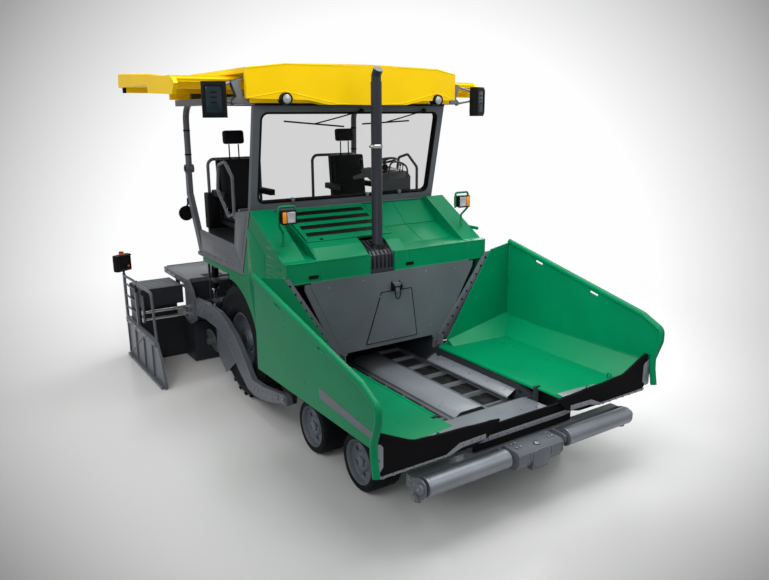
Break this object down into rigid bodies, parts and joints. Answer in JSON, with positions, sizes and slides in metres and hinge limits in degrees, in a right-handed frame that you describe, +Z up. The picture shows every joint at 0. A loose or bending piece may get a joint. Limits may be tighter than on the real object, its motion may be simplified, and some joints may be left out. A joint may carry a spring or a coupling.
{
  "type": "wheeled asphalt paver",
  "caption": "A green and grey wheeled asphalt paver with an open receiving hopper, a yellow roof over the operator stand and an extendable screed behind.",
  "frame": {"origin": "on the ground under the middle of the bounding box", "axes": "+X points to the hopper at the machine's front, +Y to its left side, +Z up"},
  "size_m": [6.148, 3.9968, 3.7407],
  "materials": {
    "green_paint": "gloss",
    "roof_yellow": "gloss",
    "grey_paint": "satin",
    "dark_grey_paint": "satin",
    "black_paint": "satin",
    "flap_rubber": "matte",
    "tyre_rubber": "matte",
    "wheel_paint": "satin",
    "bare_steel": "brushed",
    "cast_block": "rough",
    "exhaust_steel": "brushed",
    "screen_glass": "gloss",
    "seat_fabric": "matte",
    "black_plastic": "matte"
  },
  "bodies": {
    "chassis": {"main_frame": "dark_grey_paint", "conveyor_flights": "bare_steel", "hopper_rear_plate": "grey_paint", "engine_block": "cast_block", "body_shell": "green_paint", "exhaust_stack": "exhaust_steel", "operator_platform": "grey_paint", "handrails": "black_paint", "windscreen_frame": "dark_grey_paint", "windscreen_glass": "screen_glass", "roof_frame": "dark_grey_paint", "roof_shell": "roof_yellow", "mirrors": "black_plastic", "lamps": "black_plastic"},
    "rear_wheel_right": {"rear_tyre_right": "tyre_rubber", "rear_rim_right": "wheel_paint"},
    "knuckle_rear_right": {"knuckle_rear_right": "dark_grey_paint"},
    "small_wheel_rear_right": {"small_wheel_rear_right": "tyre_rubber"},
    "knuckle_front_right": {"knuckle_front_right": "dark_grey_paint"},
    "small_wheel_front_right": {"small_wheel_front_right": "tyre_rubber"},
    "hopper_wing_right": {"hopper_wing_right": "green_paint", "wing_flap_right": "flap_rubber"},
    "push_roller_right": {"push_roller_right": "bare_steel"},
    "canopy_right": {"canopy_right": "roof_yellow"},
    "seat_right": {"seat_frame_right": "black_plastic", "seat_cushions_right": "seat_fabric"},
    "auger_right": {"auger_right": "bare_steel"},
    "extension_right": {"extension_right": "dark_grey_paint", "end_gate_right": "grey_paint", "remote_box_right": "black_plastic"},
    "lift_barrel_right": {"lift_barrel_right": "black_paint"},
    "lift_rod_right": {"lift_rod_right": "bare_steel"},
    "rear_wheel_left": {"rear_tyre_left": "tyre_rubber", "rear_rim_left": "wheel_paint"},
    "knuckle_rear_left": {"knuckle_rear_left": "dark_grey_paint"},
    "small_wheel_rear_left": {"small_wheel_rear_left": "tyre_rubber"},
    "knuckle_front_left": {"knuckle_front_left": "dark_grey_paint"},
    "small_wheel_front_left": {"small_wheel_front_left": "tyre_rubber"},
    "hopper_wing_left": {"hopper_wing_left": "green_paint", "wing_flap_left": "flap_rubber"},
    "push_roller_left": {"push_roller_left": "bare_steel"},
    "canopy_left": {"canopy_left": "roof_yellow"},
    "seat_left": {"seat_frame_left": "black_plastic", "seat_cushions_left": "seat_fabric"},
    "auger_left": {"auger_left": "bare_steel"},
    "extension_left": {"extension_left": "dark_grey_paint", "end_gate_left": "grey_paint", "remote_box_left": "black_plastic"},
    "lift_barrel_left": {"lift_barrel_left": "black_paint"},
    "lift_rod_left": {"lift_rod_left": "bare_steel"},
    "front_apron": {"front_apron": "grey_paint", "apron_flap": "flap_rubber"},
    "push_beam": {"push_beam": "dark_grey_paint"},
    "hood_lid": {"hood_lid": "green_paint"},
    "console": {"operator_console": "dark_grey_paint"},
    "screed": {"tow_arms": "grey_paint", "screed_body": "dark_grey_paint", "screed_deck": "black_paint"}
  },
  "joints": [
    {"name": "rear_wheel_right_turn", "type": "hinge", "parent": "chassis", "child": "rear_wheel_right", "pos_m": [-0.597, -0.981, 0.684], "axis": [0, 1, 0], "continuous": true},
    {"name": "steer_rear_right", "type": "hinge", "parent": "chassis", "child": "knuckle_rear_right", "pos_m": [1.129, -0.79, 0.272], "axis": [0, 0, 1], "range_deg": [-22, 22]},
    {"name": "small_wheel_rear_right_turn", "type": "hinge", "parent": "knuckle_rear_right", "child": "small_wheel_rear_right", "pos_m": [1.129, -1.009, 0.272], "axis": [0, 1, 0], "continuous": true},
    {"name": "steer_front_right", "type": "hinge", "parent": "chassis", "child": "knuckle_front_right", "pos_m": [2.004, -0.79, 0.272], "axis": [0, 0, 1], "range_deg": [-22, 22]},
    {"name": "small_wheel_front_right_turn", "type": "hinge", "parent": "knuckle_front_right", "child": "small_wheel_front_right", "pos_m": [2.004, -1.009, 0.272], "axis": [0, 1, 0], "continuous": true},
    {"name": "hopper_wing_right_fold", "type": "hinge", "parent": "chassis", "child": "hopper_wing_right", "pos_m": [1.665, -0.6, 0.7], "axis": [-1, 0, 0], "range_deg": [0, 45]},
    {"name": "push_roller_right_turn", "type": "hinge", "parent": "push_beam", "child": "push_roller_right", "pos_m": [3, -0.76, 0.505], "axis": [0, 1, 0], "continuous": true},
    {"name": "canopy_right_slide", "type": "slide", "parent": "chassis", "child": "canopy_right", "axis": [0, -1, 0], "range_m": [-0.55, 0]},
    {"name": "seat_right_turn", "type": "hinge", "parent": "chassis", "child": "seat_right", "pos_m": [-1.08, -0.78, 1.9], "axis": [0, 0, 1], "range_deg": [-30, 30]},
    {"name": "auger_right_turn", "type": "hinge", "parent": "chassis", "child": "auger_right", "pos_m": [-1.73, -0.6, 0.37], "axis": [0, 1, 0], "continuous": true},
    {"name": "extension_right_slide", "type": "slide", "parent": "screed", "child": "extension_right", "axis": [0, -1, 0], "range_m": [-0.55, 0.62]},
    {"name": "lift_barrel_right_swing", "type": "hinge", "parent": "chassis", "child": "lift_barrel_right", "pos_m": [-1.64, -1.03, 1.5], "axis": [0, 1, 0], "range_deg": [-0.01, 1.2]},
    {"name": "lift_rod_right_stroke", "type": "slide", "parent": "lift_barrel_right", "child": "lift_rod_right", "axis": [-0.168, 0, -0.9858], "range_m": [-0.31039, 0.001]},
    {"name": "rear_wheel_left_turn", "type": "hinge", "parent": "chassis", "child": "rear_wheel_left", "pos_m": [-0.597, 0.981, 0.684], "axis": [0, 1, 0], "continuous": true},
    {"name": "steer_rear_left", "type": "hinge", "parent": "chassis", "child": "knuckle_rear_left", "pos_m": [1.129, 0.79, 0.272], "axis": [0, 0, 1], "range_deg": [-22, 22]},
    {"name": "small_wheel_rear_left_turn", "type": "hinge", "parent": "knuckle_rear_left", "child": "small_wheel_rear_left", "pos_m": [1.129, 1.009, 0.272], "axis": [0, 1, 0], "continuous": true},
    {"name": "steer_front_left", "type": "hinge", "parent": "chassis", "child": "knuckle_front_left", "pos_m": [2.004, 0.79, 0.272], "axis": [0, 0, 1], "range_deg": [-22, 22]},
    {"name": "small_wheel_front_left_turn", "type": "hinge", "parent": "knuckle_front_left", "child": "small_wheel_front_left", "pos_m": [2.004, 1.009, 0.272], "axis": [0, 1, 0], "continuous": true},
    {"name": "hopper_wing_left_fold", "type": "hinge", "parent": "chassis", "child": "hopper_wing_left", "pos_m": [1.665, 0.6, 0.7], "axis": [1, 0, 0], "range_deg": [0, 45]},
    {"name": "push_roller_left_turn", "type": "hinge", "parent": "push_beam", "child": "push_roller_left", "pos_m": [3, 0.76, 0.505], "axis": [0, 1, 0], "continuous": true},
    {"name": "canopy_left_slide", "type": "slide", "parent": "chassis", "child": "canopy_left", "axis": [0, 1, 0], "range_m": [-0.55, 0]},
    {"name": "seat_left_turn", "type": "hinge", "parent": "chassis", "child": "seat_left", "pos_m": [-1.08, 0.78, 1.9], "axis": [0, 0, 1], "range_deg": [-30, 30]},
    {"name": "auger_left_turn", "type": "hinge", "parent": "chassis", "child": "auger_left", "pos_m": [-1.73, 0.6, 0.37], "axis": [0, 1, 0], "continuous": true},
    {"name": "extension_left_slide", "type": "slide", "parent": "screed", "child": "extension_left", "axis": [0, 1, 0], "range_m": [-0.55, 0.62]},
    {"name": "lift_barrel_left_swing", "type": "hinge", "parent": "chassis", "child": "lift_barrel_left", "pos_m": [-1.64, 1.03, 1.5], "axis": [0, 1, 0], "range_deg": [-0.01, 1.2]},
    {"name": "lift_rod_left_stroke", "type": "slide", "parent": "lift_barrel_left", "child": "lift_rod_left", "axis": [-0.168, 0, -0.9858], "range_m": [-0.31039, 0.001]},
    {"name": "front_apron_lift", "type": "hinge", "parent": "chassis", "child": "front_apron", "pos_m": [2.29, 0, 0.56], "axis": [0, -1, 0], "range_deg": [0, 60]},
    {"name": "push_beam_swing", "type": "hinge", "parent": "chassis", "child": "push_beam", "pos_m": [2.72, 0, 0.5], "axis": [0, 0, 1], "range_deg": [-6, 6]},
    {"name": "hood_lid_open", "type": "hinge", "parent": "chassis", "child": "hood_lid", "pos_m": [-0.02, 0, 2.245], "axis": [0, -1, 0], "range_deg": [0, 55]},
    {"name": "console_slide", "type": "slide", "parent": "chassis", "child": "console", "axis": [0, 1, 0], "range_m": [-1.56, 0]},
    {"name": "screed_lift", "type": "hinge", "parent": "chassis", "child": "screed", "pos_m": [0.74, 0, 0.43], "axis": [0, 1, 0], "range_deg": [0, 7]}
  ],
  "couplings": [
    {"joint": "lift_barrel_right_swing", "follows": "screed_lift", "ratio": 0.16763},
    {"joint": "lift_rod_right_stroke", "follows": "screed_lift", "m_per_rad": -2.5324},
    {"joint": "lift_barrel_left_swing", "follows": "screed_lift", "ratio": 0.16763},
    {"joint": "lift_rod_left_stroke", "follows": "screed_lift", "m_per_rad": -2.5324},
    {"joint": "steer_rear_left", "follows": "steer_rear_right", "ratio": 1},
    {"joint": "steer_front_right", "follows": "steer_rear_right", "ratio": 1},
    {"joint": "steer_front_left", "follows": "steer_rear_right", "ratio": 1}
  ]
}
